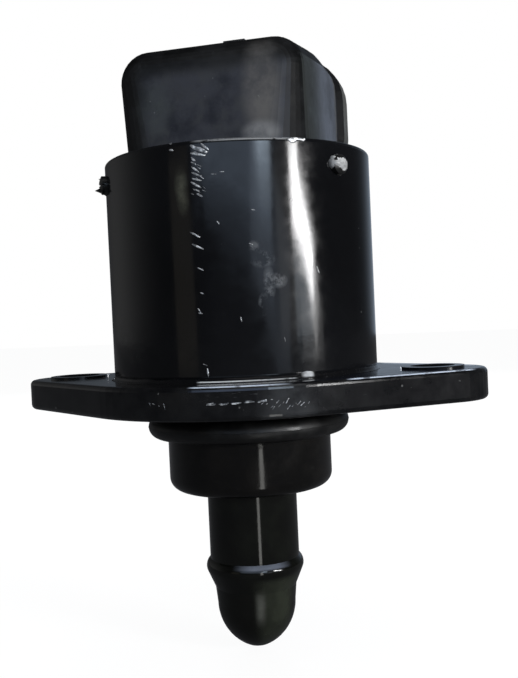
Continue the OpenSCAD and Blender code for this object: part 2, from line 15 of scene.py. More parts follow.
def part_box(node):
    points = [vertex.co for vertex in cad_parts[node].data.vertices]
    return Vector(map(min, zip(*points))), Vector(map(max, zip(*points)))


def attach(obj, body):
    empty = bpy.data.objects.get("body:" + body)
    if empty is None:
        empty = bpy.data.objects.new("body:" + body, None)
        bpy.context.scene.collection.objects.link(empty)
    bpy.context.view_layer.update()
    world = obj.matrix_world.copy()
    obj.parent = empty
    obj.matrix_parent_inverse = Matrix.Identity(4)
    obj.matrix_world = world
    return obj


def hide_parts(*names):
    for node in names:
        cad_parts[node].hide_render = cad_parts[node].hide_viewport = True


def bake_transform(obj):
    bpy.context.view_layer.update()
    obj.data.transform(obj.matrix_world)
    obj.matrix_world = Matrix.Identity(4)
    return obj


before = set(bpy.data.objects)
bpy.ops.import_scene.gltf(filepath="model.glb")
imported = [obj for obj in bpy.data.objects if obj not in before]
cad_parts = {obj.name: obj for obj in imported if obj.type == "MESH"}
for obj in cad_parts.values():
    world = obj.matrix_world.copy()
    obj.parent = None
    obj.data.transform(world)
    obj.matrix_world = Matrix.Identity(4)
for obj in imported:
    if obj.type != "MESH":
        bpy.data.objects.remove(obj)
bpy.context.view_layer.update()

bl_info = {
    "name": "Idle air control valve",
    "version": (1, 0, 0),
    "blender": (4, 5, 0),
    "location": "3D View > Sidebar > Valve",
    "description": "Finishes and fine detail of a two-bolt idle air control valve",
    "category": "Object",
}

MM = 0.001

CAN_LOW, CAN_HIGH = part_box("motor_can")
CAN_RADIUS = CAN_HIGH[0]
CAN_RIM = CAN_HIGH[2]
CAN_FOOT = CAN_LOW[2]
FLANGE_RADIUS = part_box("mounting_flange")[1][1]
# share of a full reflection in the blacks, and where the flange's paint is dulled
SPECULAR = 0.3
DULL_SPECULAR = 0.08
# the pintle can come out this far beyond its place at rest, and must not meet the floor there
PINTLE_REACH = 0.001
FLOOR_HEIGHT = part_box("pintle")[0][2] - PINTLE_REACH
# it can be drawn this far into the nose
PINTLE_DRAW = 0.0075
# focal length and longer side of the picture in pixels, and the sensor's width in millimetres
FOCAL_LENGTH = 900.93
PICTURE_SIDE = 678
SENSOR_WIDTH = 36


def colour_setting(name, description, default):
    return FloatVectorProperty(
        name=name, description=description, subtype="COLOR", size=3, min=0, max=1, default=default
    )


def length_setting(name, description, default):
    return FloatProperty(
        name=name, description=description, unit="LENGTH", subtype="DISTANCE", default=default
    )


def angle_setting(name, description, degrees):
    return FloatProperty(
        name=name,
        description=description,
        unit="ROTATION",
        subtype="ANGLE",
        default=math.radians(degrees),
    )


class PaintSettings(bpy.types.PropertyGroup):
    colour: colour_setting(
        "Paint colour", "Gloss black paint on the can and the flange", (0.0034, 0.0035, 0.004)
    )
    roughness: FloatProperty(
        name="Paint roughness",
        description="Roughness of clean paint",
        subtype="FACTOR",
        min=0,
        max=1,
        default=0.11,
    )
    scratch_width: length_setting("Scratch width", "Width of a scratch at its middle", 0.00013)
    scratch_height: length_setting("Burr height", "Height of the burr of a scratch", 0.00003)


class PlasticSettings(bpy.types.PropertyGroup):
    socket_colour: colour_setting("Socket colour", "Moulded socket", (0.0045, 0.0046, 0.0048))
    nose_colour: colour_setting("Nose colour", "Nose housing", (0.003, 0.0028, 0.0026))
    pintle_colour: colour_setting("Pintle colour", "Pintle and stem", (0.0035, 0.0036, 0.003))


class StudioSettings(bpy.types.PropertyGroup):
    distance: length_setting("Camera distance", "Distance from the valve's axis", 0.12129)
    height: length_setting("Camera height", "Height above the flange's underside", 0.01157)
    yaw: angle_setting("Camera yaw", "Turn of the camera round the valve's axis", 16.42)
    pan: angle_setting("Camera pan", "Aim to the left of the axis", -0.89)
    tilt: angle_setting("Camera tilt", "Aim above the level", -1.46)
    roll: angle_setting("Camera roll", "Turn of the camera round its own axis", 2.62)
    lens: FloatProperty(
        name="Lens",
        description="Focal length for a sensor 36 mm wide",
        unit="CAMERA",
        subtype="DISTANCE_CAMERA",
        default=FOCAL_LENGTH * SENSOR_WIDTH / PICTURE_SIDE,
    )


class DetailSettings(bpy.types.PropertyGroup):
    screw_pitch: length_setting("Thread pitch", "Pitch of the lead screw", 0.001)
    spring_wire: length_setting("Spring wire", "Thickness of the return spring's wire", 0.0008)
    spring_turns: IntProperty(
        name="Spring turns",
        description="Number of turns of the return spring",
        default=8,
        min=3,
        max=9,
    )
    seed: IntProperty(name="Seed", description="Seed of the scattered wear", default=7)


class Nodes:
    """The nodes of a material or a world, under construction."""

    def __init__(self, owner):
        owner.use_nodes = True
        self.tree = owner.node_tree
        self.tree.nodes.clear()

    def put(self, socket, value):
        if isinstance(value, bpy.types.NodeSocket):
            self.tree.links.new(value, socket)
        elif socket.type == "RGBA" and len(value) == 3:
            socket.default_value = (*value, 1)
        else:
            socket.default_value = value

    def node(self, kind, sockets=None, **settings):
        made = self.tree.nodes.new(kind)
        for name, value in settings.items():
            setattr(made, name, value)
        for name, value in (sockets or {}).items():
            self.put(made.inputs[name], value)
        return made

    def sum(self, operation, *values):
        return self.node("ShaderNodeMath", dict(enumerate(values)), operation=operation).outputs[0]

    def times(self, product, *values):
        for value in values:
            product = self.sum("MULTIPLY", product, value)
        return product

    def mix(self, share, first, second):
        """A colour between two colours."""
        sockets = {0: share, 6: first, 7: second}
        return self.node("ShaderNodeMix", sockets, data_type="RGBA").outputs[2]

    def blend(self, share, first, second):
        """A shader between two shaders."""
        return self.node("ShaderNodeMixShader", {0: share, 1: first, 2: second}).outputs[0]

    def rays(self):
        """The kinds of rays, and 1 for those that the camera sends, also through clear matter."""
        path = self.node("ShaderNodeLightPath").outputs
        return path, self.sum("MAXIMUM", path["Is Camera Ray"], path["Is Transmission Ray"])


class Shader(Nodes):
    """A material under construction."""

    def __init__(self, name):
        self.material = bpy.data.materials.get(name) or bpy.data.materials.new(name)
        super().__init__(self.material)
        self.surface = self.node("ShaderNodeBsdfPrincipled")
        self.node("ShaderNodeOutputMaterial", {"Surface": self.surface.outputs["BSDF"]})
        where = self.node("ShaderNodeTexCoord").outputs
        self.place = where["Object"]
        self.facing = where["Normal"]

    def finished(self, **sockets):
        """The material, once its surface's sockets are set."""
        for name, value in sockets.items():
            self.put(self.surface.inputs[name.replace("_", " ")], value)
        return self.material

    def noise(self, scale, detail=2.0, rough=0.5, stretch=None):
        where = self.place
        if stretch:
            sockets = {"Vector": self.place, "Scale": stretch}
            where = self.node("ShaderNodeMapping", sockets).outputs[0]
        sockets = {"Vector": where, "Scale": scale, "Detail": detail, "Roughness": rough}
        return self.node("ShaderNodeTexNoise", sockets).outputs[0]

    def remap(self, value, low, high, to_low=0.0, to_high=1.0):
        sockets = dict(enumerate((value, low, high, to_low, to_high)))
        return self.node("ShaderNodeMapRange", sockets, interpolation_type="SMOOTHSTEP").outputs[0]

    def axes(self):
        return self.node("ShaderNodeSeparateXYZ", {"Vector": self.place}).outputs

    def facings(self):
        return self.node("ShaderNodeSeparateXYZ", {"Vector": self.facing}).outputs

    def azimuth(self):
        """Angle round the valve's axis in degrees, from +X."""
        x, y, _z = self.axes()
        return self.times(self.sum("ARCTAN2", y, x), 180 / math.pi)

    def band(self, value, low, high, soft):
        """1 between low and high, running out over soft on both sides."""
        rise = self.remap(value, low - soft, low)
        return self.times(rise, self.remap(value, high, high + soft, 1, 0))

    def specks(self, scale, core, edge, cloud, low, high):
        """Small specks, which lie only where the cloud is dense."""
        sockets = {"Vector": self.place, "Scale": scale}
        cells = self.node("ShaderNodeTexVoronoi", sockets).outputs["Distance"]
        return self.times(self.remap(cells, core, edge, 1, 0), self.remap(cloud, low, high))

    def oval(self, places, soft):
        """A soft-edged oval: 1 in its middle, 0 outside.

        places holds each coordinate's socket, its value in the middle and the half size.
        """
        squares = []
        for value, middle, half in places:
            share = self.sum("DIVIDE", self.sum("SUBTRACT", value, middle), half)
            squares.append(self.times(share, share))
        return self.remap(self.sum("SQRT", self.sum("ADD", *squares)), 1 - soft, 1, 1, 0)

    def patch(self, angle, height, wide, tall, soft=0.6):
        """A soft-edged patch on the can, in degrees and millimetres."""
        _x, _y, z = self.axes()
        along = (z, height * MM, tall / 2 * MM)
        return self.oval(((self.azimuth(), angle, wide / 2), along), soft)

    def bump(self, height, distance, strength=1.0, under=None):
        sockets = {"Height": height, "Distance": distance, "Strength": strength}
        if under is not None:
            sockets["Normal"] = under
        return self.node("ShaderNodeBump", sockets).outputs[0]


def gloss_paint(paint):
    """Sprayed black paint with orange peel, faint smudges, dust, a painted olive reflection on the
    left, and a rim worn bare that also carries a painted highlight line along its front.

    Each patch has its angle, its place up the can, its width and its height.
    """
    s = Shader("gloss_black_paint")
    _x, _y, z = s.axes()
    smear = s.noise(420, 5, 0.62)
    tint_patch = s.noise(70, 3, 0.5)
    marks = s.patch(-65.5, 18.1, 11, 2.4)
    for spot in (
        (-63.5, 15.2, 6, 5),
        (-59.5, 15.6, 8, 2.2),
        (-66, 12.9, 4.5, 3),
        (-68.6, 19.6, 5, 1.6),
    ):
        marks = s.sum("MAXIMUM", marks, s.patch(*spot))
    marks = s.times(marks, s.remap(s.noise(620, 5, 0.7), 0.42, 0.58))
    # painted reflection: a soft olive glow on the can's left side
    painted_olive_reflection = s.sum("MAXIMUM", s.patch(-95.3, 25.6, 6.5, 5, 0.95), s.patch(-95.8, 27.2, 7, 5.5, 0.95))
    painted_olive_reflection = s.times(painted_olive_reflection, s.remap(smear, 0.3, 0.65, 0.12, 0.62))
    # the smudges and the painted olive reflection both raise the roughness
    smudges_and_painted_reflection = s.sum("MAXIMUM", marks, painted_olive_reflection)
    colour = s.mix(s.remap(tint_patch, 0.35, 0.7), paint.colour, (0.005, 0.0052, 0.006))
    colour = s.mix(s.times(marks, 0.7), colour, (0.075, 0.078, 0.082))
    colour = s.mix(painted_olive_reflection, colour, (0.105, 0.107, 0.08))
    dust = s.specks(640, 0.05, 0.075, s.noise(330, 4, 0.8), 0.58, 0.64)
    colour = s.mix(s.times(dust, 0.35), colour, (0.4, 0.4, 0.38))
    turn = s.azimuth()
    # the rim's front is worn to bare metal and painted as a bright highlight line
    rim = s.remap(z, CAN_RIM - 0.42 * MM, CAN_RIM - 0.12 * MM)
    sweep = s.times(s.remap(turn, -92, -84), s.remap(turn, -56, -50, 1, 0))
    wear_and_painted_highlight = s.times(rim, sweep, s.remap(s.noise(900, 3), 0.35, 0.5))
    colour = s.mix(wear_and_painted_highlight, colour, (0.5, 0.51, 0.52))
    rough = s.remap(smear, 0.3, 0.75, paint.roughness - 0.03, paint.roughness + 0.06)
    peel = s.bump(s.noise(1500, 2, 0.5), 0.000006, 0.35)
    peel = s.bump(s.noise(240, 2, 0.5), 0.00003, 0.25, peel)
    return s.finished(
        Base_Color=colour,
        Roughness=s.sum("ADD", rough, s.times(smudges_and_painted_reflection, 0.22)),
        Metallic=s.times(wear_and_painted_highlight, 0.8),
        Specular_IOR_Level=SPECULAR,
        Normal=peel,
    )


def flange_paint(paint):
    """The same paint on the flange, dulled, with scuffs along its edges and faces, painted
    highlights along its worn top edges, a painted navy reflection on the top of its right half, and
    a painted dark blue reflection and a painted grey sheen on its front face.
    """
    s = Shader("scuffed_black_paint")
    x, y, _z = s.axes()
    _nx, ny, nz = s.facings()
    turn = s.azimuth()
    smear = s.noise(300, 5, 0.6)
    breaks = s.noise(520, 4, 0.65)
    fine = s.noise(1, 6, 0.7, (900, 900, 5200))
    colour = s.mix(s.remap(smear, 0.35, 0.7), paint.colour, (0.0085, 0.0086, 0.009))
    front = s.remap(y, -0.012, -0.017)
    scrape = s.times(s.remap(fine, 0.6, 0.68), front, s.remap(s.noise(130, 2), 0.5, 0.62))
    colour = s.mix(s.times(scrape, 0.22), colour, (0.16, 0.165, 0.17))
    middle = s.times(s.band(turn, -89, -62, 3), s.remap(y, -0.0185, -0.0205))
    lobe = s.band(x, 0.0172, 0.0292, 0.0012)
    # the top edge along the front and round the right lobe, worn and painted as a pale blue
    # highlight
    crest_highlight = s.times(s.band(nz, 0.72, 0.9, 0.1), s.sum("MAXIMUM", middle, lobe))
    wear_and_painted_highlight = s.times(crest_highlight, s.remap(breaks, 0.36, 0.5, 0.25, 1))
    # painted reflection: the upward faces of the right half are tinted navy
    top = s.times(s.remap(nz, 0.9, 0.99), s.remap(x, 0.008, 0.02))
    colour = s.mix(top, colour, (0.006, 0.008, 0.015))
    # how far a place lies from the axis, square to the right lobe's straight back edge
    outlying = s.sum("ADD", s.times(x, 0.615), s.times(y, 0.788))
    # the right lobe's far top edge, worn and painted as a pale highlight outline
    brink = s.times(top, lobe, s.band(outlying, 0.0199, 0.0212, 0.0003))
    wear_and_painted_highlight = s.sum("MAXIMUM", wear_and_painted_highlight, s.times(brink, s.remap(breaks, 0.3, 0.45, 0.3, 1)))
    # painted reflection: a dark blue patch on the front edge, in the middle
    under = s.times(s.band(nz, 0.05, 0.5, 0.05), middle, 0.8)
    colour = s.mix(under, colour, (0.008, 0.011, 0.022))
    # painted sheen: a dull grey patch on the front face, right of the middle
    painted_sheen = s.times(s.band(turn, -64, -58, 9), s.remap(ny, -0.6, -0.75))
    painted_sheen = s.times(painted_sheen, s.remap(smear, 0.3, 0.62, 0.3, 1))
    colour = s.mix(painted_sheen, colour, (0.026, 0.027, 0.0285))
    # the worn edges take a pale blue painted highlight colour
    colour = s.mix(wear_and_painted_highlight, colour, (0.5, 0.55, 0.64))
    dust = s.specks(560, 0.05, 0.09, breaks, 0.5, 0.56)
    colour = s.mix(s.times(dust, 0.3), colour, (0.3, 0.3, 0.29))
    flank = s.times(s.remap(x, 0.0125, 0.0185), s.remap(ny, -0.5, -0.7))
    dulled = s.sum("MAXIMUM", top, s.times(flank, 0.75))
    peel = s.bump(s.noise(1100, 2, 0.5), 0.00001, 0.4)
    return s.finished(
        Base_Color=colour,
        Roughness=s.remap(smear, 0.3, 0.72, paint.roughness - 0.02, paint.roughness + 0.05),
        Specular_IOR_Level=s.sum("MULTIPLY_ADD", dulled, DULL_SPECULAR - SPECULAR, SPECULAR),
        Normal=s.bump(fine, 0.00001, 0.3, peel),
    )


def fillet_paint(paint):
    """The run of paint at the can's foot, with a painted highlight line and a painted highlight blob
    along its front.
    """
    s = Shader("black_paint_painted_highlight")
    _x, _y, z = s.axes()
    turn = s.azimuth()
    breaks = s.noise(700, 4, 0.65)
    # painted highlight: a thin bright line along the fillet's front
    line = s.band(z, CAN_FOOT + 0.13 * MM, CAN_FOOT + 0.22 * MM, 0.05 * MM)
    line = s.times(line, s.band(turn, -91, -56, 2.5), s.remap(turn, -85, -52, 0.75, 0.35))
    line = s.times(line, s.remap(breaks, 0.34, 0.46))
    # painted highlight: a bright blob at the right of the front
    painted_highlight_blob = s.remap(z, CAN_FOOT + 0.1 * MM, CAN_FOOT + 0.4 * MM)
    painted_highlight_blob = s.times(painted_highlight_blob, s.band(turn, -50.2, -48.6, 2.4), s.remap(breaks, 0.3, 0.6, 0.45, 1))
    return s.finished(
        Base_Color=s.mix(s.sum("MAXIMUM", line, painted_highlight_blob), paint.colour, (0.62, 0.63, 0.64)),
        Roughness=s.remap(breaks, 0.3, 0.7, 0.14, 0.3),
        Specular_IOR_Level=SPECULAR,
        Normal=s.bump(s.noise(900, 3), 0.00002, 0.5),
    )


def socket_plastic(plastic):
    """Glass-filled plastic with a fine grain, a closed end with a mottled painted sheen and painted
    highlights, and a painted reflection along its side.
    """
    s = Shader("socket_moulding")
    x, y, z = s.axes()
    nx, ny, _nz = s.facings()
    cloud = s.noise(150, 5, 0.6)
    smudge = s.noise(320, 5, 0.65)
    fibre = s.noise(1, 3, 0.6, (3200, 900, 900))
    face = s.remap(ny, -0.8, -0.97)
    side = s.remap(nx, 0.86, 0.97)
    colour = s.mix(s.remap(smudge, 0.38, 0.68), plastic.socket_colour, (0.011, 0.0112, 0.0118))
    # painted sheen: clouds of lighter bluish grey on the closed end
    mottled_painted_sheen = s.mix(s.remap(cloud, 0.38, 0.6), (0.01, 0.0108, 0.0165), (0.03, 0.0315, 0.039))
    mottled_painted_sheen = s.mix(s.remap(smudge, 0.46, 0.66, 0, 0.6), mottled_painted_sheen, (0.036, 0.038, 0.04))
    clear = s.times(s.remap(x, -0.0092, -0.0068), s.remap(z, 0.0425, 0.0407))
    colour = s.mix(s.times(face, clear), colour, mottled_painted_sheen)
    # x, z and half sizes of the painted highlights and reflections on the closed end, in millimetres
    for middle, halves, share, tone in (
        ((-6.6, 37.6), (3.2, 4.6), 0.55, (0.042, 0.05, 0.048)),
        ((7.0, 38.6), (3.1, 8), 0.95, (0.11, 0.104, 0.098)),
        ((6.7, 33.4), (3.0, 2.0), 0.95, (0.2, 0.2, 0.2)),
    ):
        places = [(at, m * MM, h * MM) for at, m, h in zip((x, z), middle, halves)]
        painted_sheen = s.times(s.oval(places, 0.75), s.remap(ny, -0.45, -0.8))
        painted_sheen = s.times(painted_sheen, s.remap(smudge, 0.3, 0.62, share * 0.45, share))
        colour = s.mix(painted_sheen, colour, tone)
    # painted reflection: along the side, a pale blue band that darkens towards the front, and a
    # painted beige highlight at the back
    flank = s.mix(s.remap(y, -0.0065, 0.002), (0.022, 0.025, 0.024), (0.085, 0.096, 0.12))
    flank = s.mix(s.remap(y, 0.0065, 0.0095), flank, (0.07, 0.068, 0.06))
    colour = s.mix(s.times(side, s.remap(cloud, 0.3, 0.6, 0.6, 1)), colour, flank)
    colour = s.mix(s.remap(fibre, 0.62, 0.75, 0, 0.2), colour, (0.045, 0.046, 0.048))
    lint = s.specks(900, 0.06, 0.1, s.noise(260, 3, 0.7), 0.5, 0.58)
    colour = s.mix(s.times(lint, face, 0.3), colour, (0.3, 0.3, 0.3))
    flat = s.sum("MAXIMUM", face, side)
    grainy = s.bump(s.noise(5200, 2, 0.6), 0.000008, 0.5)
    grainy = s.bump(smudge, 0.00003, 0.2, grainy)
    return s.finished(
        Base_Color=colour,
        Roughness=s.remap(smudge, 0.3, 0.7, 0.4, 0.56),
        Specular_IOR_Level=s.remap(flat, 0, 1, 0.06, 0.34),
        Normal=grainy,
    )


def dark_plastic(name, colour, tint, roughness):
    """Moulded engine plastic with flow marks and a few worn spots."""
    s = Shader(name)
    smudge = s.noise(260, 5, 0.6)
    flow = s.noise(1, 3, 0.5, (380, 380, 2200))
    tone = s.mix(s.remap(smudge, 0.4, 0.7), colour, tint)
    tone = s.mix(s.remap(flow, 0.62, 0.74, 0, 0.3), tone, (0.014, 0.014, 0.013))
    rough = s.remap(smudge, 0.3, 0.7, roughness - 0.02, roughness + 0.05)
    skin = s.bump(s.noise(2600, 2, 0.5), 0.000008, 0.4)
    skin = s.bump(flow, 0.000012, 0.35, skin)
    return s.finished(Base_Color=tone, Roughness=rough, Specular_IOR_Level=SPECULAR, Normal=skin)


def pintle_plastic(plastic):
    """The nose's plastic, with a painted highlight on the bead's crest, a painted highlight streak
    down the tip, and a painted greenish reflection on one side of the tip.
    """
    s = Shader("pintle_moulding")
    _x, _y, z = s.axes()
    _nx, _ny, nz = s.facings()
    turn = s.azimuth()
    smudge = s.noise(260, 5, 0.6)
    flow = s.noise(1, 3, 0.5, (380, 380, 2200))
    tone = s.mix(s.remap(smudge, 0.4, 0.7), plastic.pintle_colour, (0.0055, 0.006, 0.0045))
    # painted reflection: a greenish patch on the right side of the tip
    tint_patch = s.times(s.remap(z, -0.0221, -0.0231), s.band(turn, -56, -28, 27))
    tint_patch = s.times(tint_patch, s.remap(smudge, 0.3, 0.65, 0.55, 1))
    tone = s.mix(tint_patch, tone, (0.021, 0.0235, 0.0165))
    # painted highlight: a narrow light streak down the tip
    painted_tip_highlight = s.times(s.band(turn, -69, -68, 10), s.band(z, -0.0272, -0.0258, 0.0022))
    painted_tip_highlight = s.times(painted_tip_highlight, s.remap(smudge, 0.3, 0.65, 0.5, 1))
    tone = s.mix(painted_tip_highlight, tone, (0.07, 0.071, 0.062))
    # painted highlight: a bluish light band on the upper side of the bead's crest
    crest_highlight = s.times(s.band(nz, 0.5, 0.72, 0.22), s.band(z, -0.0217, -0.0203, 0.0002))
    crest_highlight = s.times(crest_highlight, s.band(turn, -76, -52, 28), s.remap(smudge, 0.3, 0.6, 0.7, 1))
    tone = s.mix(crest_highlight, tone, (0.135, 0.15, 0.185))
    skin = s.bump(s.noise(2600, 2, 0.5), 0.000008, 0.25)
    skin = s.bump(flow, 0.000012, 0.2, skin)
    return s.finished(
        Base_Color=tone,
        Roughness=s.remap(smudge, 0.3, 0.7, 0.05, 0.11),
        Specular_IOR_Level=SPECULAR,
        Normal=skin,
    )


def rubber(name, roughness):
    s = Shader(name)
    bloom = s.noise(350, 4, 0.6)
    colour = s.mix(s.remap(bloom, 0.45, 0.7), (0.003, 0.003, 0.003), (0.008, 0.008, 0.0078))
    skin = s.bump(s.noise(3000, 2, 0.6), 0.00001, 0.5)
    return s.finished(
        Base_Color=colour,
        Roughness=s.remap(bloom, 0.3, 0.7, roughness - 0.05, roughness + 0.12),
        Specular_IOR_Level=0.35,
        Normal=skin,
    )


def metal(name, colour, dark, roughness, grain=(500, 500, 6000), spots=0.15):
    """Machined or drawn metal: fine lines along its grain, and dull spots."""
    s = Shader(name)
    lines = s.noise(1, 4, 0.65, grain)
    dull = s.noise(480, 4, 0.6)
    tone = s.mix(s.remap(lines, 0.35, 0.7), dark, colour)
    tone = s.mix(s.remap(dull, 0.55, 0.72, 0, spots), tone, [c * 0.35 for c in dark])
    return s.finished(
        Base_Color=tone,
        Metallic=1.0,
        Roughness=s.remap(dull, 0.3, 0.7, roughness - 0.06, roughness + 0.14),
        Normal=s.bump(lines, 0.00001, 0.4),
    )


def natural_plastic(name, colour, dark):
    s = Shader(name)
    cloud = s.noise(300, 4, 0.55)
    tone = s.mix(s.remap(cloud, 0.35, 0.7), dark, colour)
    return s.finished(
        Base_Color=tone,
        Roughness=s.remap(cloud, 0.3, 0.7, 0.38, 0.55),
        Normal=s.bump(s.noise(2400, 2), 0.00001, 0.4),
    )


def ferrite():
    s = Shader("magnet_ferrite")
    grit = s.noise(1900, 4, 0.7)
    ground = s.noise(1, 3, 0.6, (400, 400, 7000))
    tone = s.mix(s.remap(grit, 0.35, 0.7), (0.03, 0.03, 0.032), (0.085, 0.085, 0.09))
    return s.finished(
        Base_Color=tone,
        Roughness=s.remap(ground, 0.3, 0.7, 0.4, 0.62),
        Normal=s.bump(s.sum("ADD", grit, ground), 0.000012, 0.5),
    )


def wound_copper():
    """Layers of enamelled wire: fine ridges that run round the winding."""
    s = Shader("wound_copper")
    _x, _y, z = s.axes()
    turns = s.sum("SINE", s.times(z, 2 * math.pi / 0.00022))
    shade = s.remap(turns, -1, 0.4)
    colour = s.mix(shade, (0.08, 0.022, 0.008), (0.55, 0.2, 0.07))
    return s.finished(
        Base_Color=colour,
        Metallic=0.85,
        Roughness=s.remap(s.noise(500, 3), 0.3, 0.7, 0.25, 0.42),
        Normal=s.bump(turns, 0.00005, 0.9),
    )


def scratch_metal():
    return torn_metal("scratch_metal", 2600, 0.55, (0.16, 0.165, 0.17), (0.72, 0.73, 0.74))


def torn_metal(name, scale, metallic, dark, bright):
    """Bright metal mixed with torn paint."""
    s = Shader(name)
    torn = s.noise(scale, 3, 0.6)
    tone = s.mix(s.remap(torn, 0.4, 0.62), dark, bright)
    return s.finished(
        Base_Color=tone,
        Metallic=metallic,
        Roughness=s.remap(torn, 0.3, 0.7, 0.3, 0.5),
        Normal=s.bump(torn, 0.00002, 0.6),
    )


def new_piece(name, mesh_builder, material, body="valve_body", smooth=True):
    """Makes an object from the bmesh that mesh_builder fills, and rides it on body, if given."""
    mesh = bpy.data.meshes.new(name)
    work = bmesh.new()
    mesh_builder(work)
    bmesh.ops.recalc_face_normals(work, faces=work.faces)
    work.to_mesh(mesh)
    work.free()
    for face in mesh.polygons:
        face.use_smooth = smooth
    mesh.materials.append(material)
    thing = bpy.data.objects.new(name, mesh)
    bpy.context.scene.collection.objects.link(thing)
    if body:
        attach(thing, body)
    return thing


def face_rings(work, rings, joined=False, capped=True):
    """Makes faces between rings of points, which join up in a circle or are closed at both ends."""
    following = rings[1:] + rings[:1] if joined else rings[1:]
    for a, b in zip(rings, following):
        for j in range(len(a)):
            n = (j + 1) % len(a)
            work.faces.new((a[j], a[n], b[n], b[j]))
    if capped and not joined:
        work.faces.new(list(reversed(rings[0])))
        work.faces.new(rings[-1])


def bead_along(work, path, normals, half_width, height, segments=3, taper=0.6):
    """A closed lens-shaped burr along a path that lies on a surface, tapered to both ends."""
    count = len(path)
    rings = []
    for k, (spot, normal) in enumerate(zip(path, normals)):
        ahead = path[min(k + 1, count - 1)] - path[max(k - 1, 0)]
        side = normal.cross(ahead).normalized()
        swell = math.sin(math.pi * (k + 0.5) / count) ** taper
        ring = []
        for j in range(2 * segments):
            turn = math.pi * j / segments
            across = side * (half_width * math.cos(turn)) + normal * (height * math.sin(turn))
            ring.append(work.verts.new(spot + across * swell))
        rings.append(ring)
    face_rings(work, rings)


def outward(angle):
    """The level direction at an angle in radians from +X."""
    return Vector((math.cos(angle), math.sin(angle), 0))


def upward(height):
    return Vector((0, 0, height))


def revolve(work, turns, section):
    """Sweeps round the valve's axis what section gives at each step: radii and heights."""
    rings = []
    for k in range(turns):
        out = outward(2 * math.pi * k / turns)
        rings.append([work.verts.new(out * radius + upward(z)) for radius, z in section(k)])
    face_rings(work, rings, joined=True)


def wall_scratches(work, radius, scratches, width, burr, steps):
    """Makes scratches on an upright round wall.

    Each has its angle, height, length, lean and share of the width, in degrees and millimetres.
    The lean is the slope below the level, to the right.
    """
    for angle, height, length, lean, share in scratches:
        slope = math.radians(lean)
        path, normals = [], []
        for k in range(steps):
            along = (k / (steps - 1) - 0.5) * length * MM
            out = outward(math.radians(angle) + along * math.cos(slope) / radius)
            path.append(out * radius + upward(height * MM - along * math.sin(slope)))
            normals.append(out)
        bead_along(work, path, normals, share * width / 2, burr)


def draw(chance, ranges):
    """One random value from each range, drawn in their order."""
    return [chance.uniform(low, high) for low, high in ranges]


class VALVE_OT_finishes(bpy.types.Operator):
    """Gives every part of the valve its finish"""

    bl_idname = "valve.finishes"
    bl_label = "Finishes"

    def execute(self, context):
        scene = context.scene
        paint = scene.valve_paint
        plastic = scene.valve_plastic
        steel = metal("yoke_steel", (0.58, 0.59, 0.6), (0.42, 0.43, 0.44), 0.36)
        bearing = metal("bearing_steel", (0.72, 0.73, 0.75), (0.55, 0.56, 0.58), 0.18, spots=0.05)
        grain = (2600, 2600, 2600)
        bright = metal("bare_steel", (0.85, 0.86, 0.87), (0.62, 0.63, 0.64), 0.42, grain, 0.35)
        screw = metal("screw_steel", (0.62, 0.63, 0.66), (0.46, 0.47, 0.49), 0.28)
        spring = metal("spring_steel", (0.56, 0.57, 0.6), (0.34, 0.35, 0.37), 0.25)
        washer = natural_plastic("thrust_nylon", (0.82, 0.81, 0.76), (0.72, 0.7, 0.64))
        brass = metal("cage_brass", (0.78, 0.58, 0.26), (0.58, 0.4, 0.15), 0.28)
        grain = (2400, 2400, 2400)
        bronze = metal("bush_bronze", (0.6, 0.4, 0.2), (0.38, 0.24, 0.11), 0.45, grain, 0.4)
        grain = (3000, 600, 3000)
        tinned = metal("tinned_brass", (0.78, 0.77, 0.72), (0.62, 0.61, 0.56), 0.3, grain)
        bobbin = natural_plastic("bobbin_nylon", (0.74, 0.7, 0.58), (0.62, 0.58, 0.46))
        hub = natural_plastic("hub_acetal", (0.8, 0.78, 0.72), (0.68, 0.66, 0.6))
        copper = wound_copper()
        pins = dark_plastic("blackened_pins", (0.006, 0.006, 0.006), (0.014, 0.014, 0.014), 0.3)
        nose = dark_plastic("nose_moulding", plastic.nose_colour, (0.0058, 0.0052, 0.0046), 0.085)
        finishes = {
            "motor_can": gloss_paint(paint),
            "mounting_flange": flange_paint(paint),
            "connector_housing": socket_plastic(plastic),
            "lock_pins": pins,
            "plug_seal": rubber("seal_rubber", 0.5),
            "nose_housing": nose,
            "nose_o_ring": rubber("ring_rubber", 0.4),
            "pintle": pintle_plastic(plastic),
            "lead_screw": screw,
            "return_spring": spring,
            "spring_seat": bright,
            "bearing_outer_race": bearing,
            "bearing_inner_race": bearing,
            "bearing_balls": bearing,
            "bearing_cage": brass,
            "rotor_hub": hub,
            "rotor_magnet": ferrite(),
            "thrust_washer": washer,
            "rear_bush": bronze,
        }
        for phase in ("lower", "upper"):
            finishes[f"{phase}_outer_yoke"] = steel
            finishes[f"{phase}_inner_yoke"] = steel
            finishes[f"{phase}_bobbin"] = bobbin
            finishes[f"{phase}_winding"] = copper
        for number in (1, 2, 3, 4):
            finishes[f"terminal_{number}"] = tinned
        for name, material in finishes.items():
            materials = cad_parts[name].data.materials
            materials.clear()
            materials.append(material)
        return {"FINISHED"}


